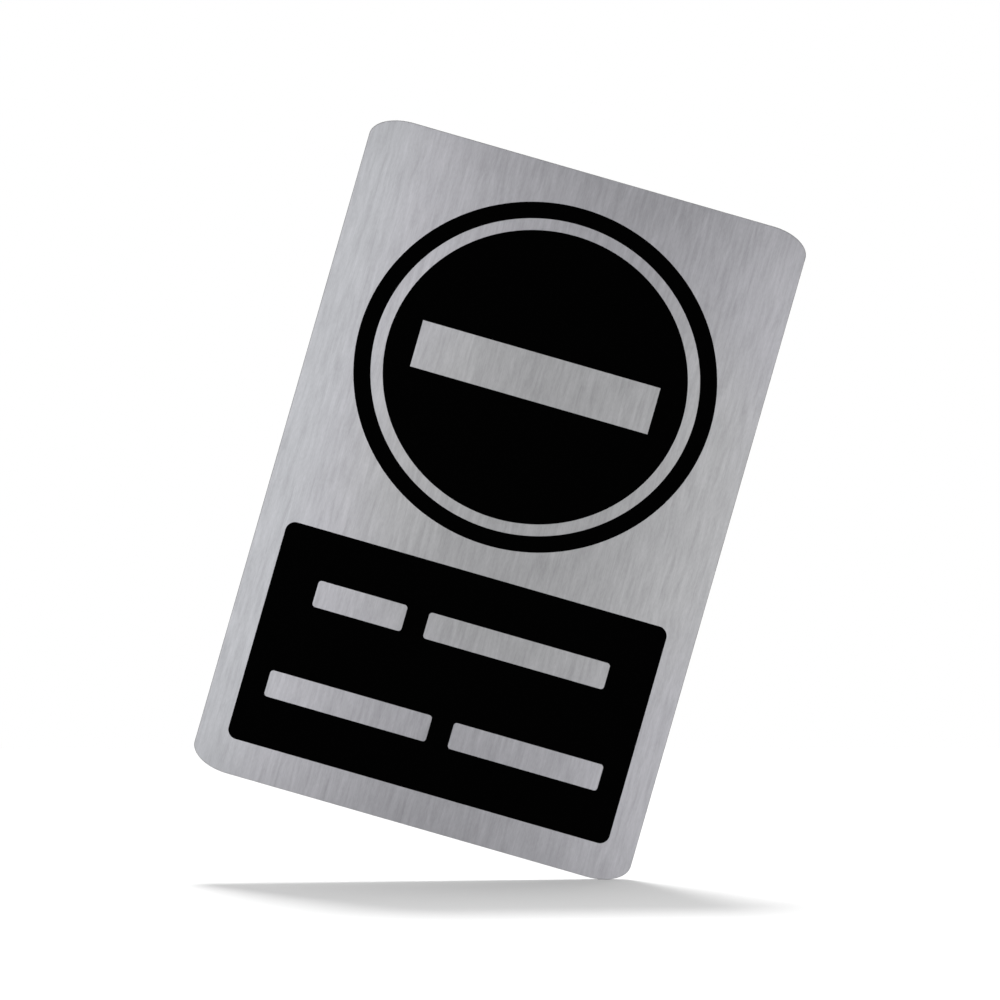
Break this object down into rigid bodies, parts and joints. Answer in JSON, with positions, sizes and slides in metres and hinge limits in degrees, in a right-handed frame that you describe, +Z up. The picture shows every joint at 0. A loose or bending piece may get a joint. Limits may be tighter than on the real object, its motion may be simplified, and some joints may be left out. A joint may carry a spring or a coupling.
{
  "type": "no entry sign",
  "caption": "Flat upright plate in brushed metal with a round no entry symbol above a black legend panel, fixed flat to a wall or door by its back.",
  "frame": {"origin": "centre of the plate's back face, the face that lies on the wall", "axes": "+Z up the sign, +X to the reader's right, -Y out of the wall towards the reader"},
  "size_m": [0.2, 0.0016, 0.3],
  "materials": {
    "brushed_plate": "brushed up and down the sign",
    "black_film": "matt cut film"
  },
  "bodies": {
    "root": {"sign_plate": "brushed_plate", "symbol_ring": "black_film", "symbol_disc": "black_film", "legend_panel": "black_film"}
  },
  "joints": []
}
